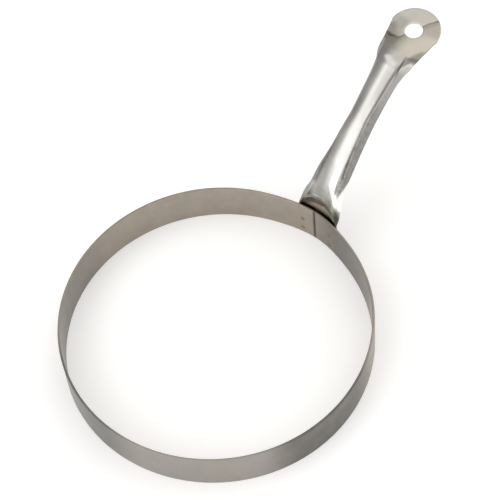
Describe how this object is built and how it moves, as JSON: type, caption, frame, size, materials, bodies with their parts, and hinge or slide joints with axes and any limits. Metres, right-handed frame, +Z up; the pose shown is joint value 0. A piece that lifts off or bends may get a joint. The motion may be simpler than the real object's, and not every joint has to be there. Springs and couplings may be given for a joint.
{
  "type": "egg ring",
  "caption": "Round egg ring: a thin upright steel band with a pressed channel handle that rises outwards to a flat paddle with a hanging hole.",
  "frame": {"origin": "middle of the footprint of the whole object, on the surface the band rests on", "axes": "+Z up along the band's axis, +Y from the band's axis towards the handle's paddle, +X to the right as seen from the band looking along the handle"},
  "size_m": [0.1548, 0.2468, 0.0926],
  "materials": {
    "band_steel": "mill-finished stainless steel with a satin sheen",
    "handle_steel": "bright pressed stainless steel",
    "weld_steel": "fused steel between the sheets"
  },
  "bodies": {
    "root": {"ring_band": "band_steel", "handle": "handle_steel", "spot_weld_lower_left": "weld_steel", "spot_weld_lower_right": "weld_steel", "spot_weld_upper_left": "weld_steel", "spot_weld_upper_right": "weld_steel"}
  },
  "joints": []
}
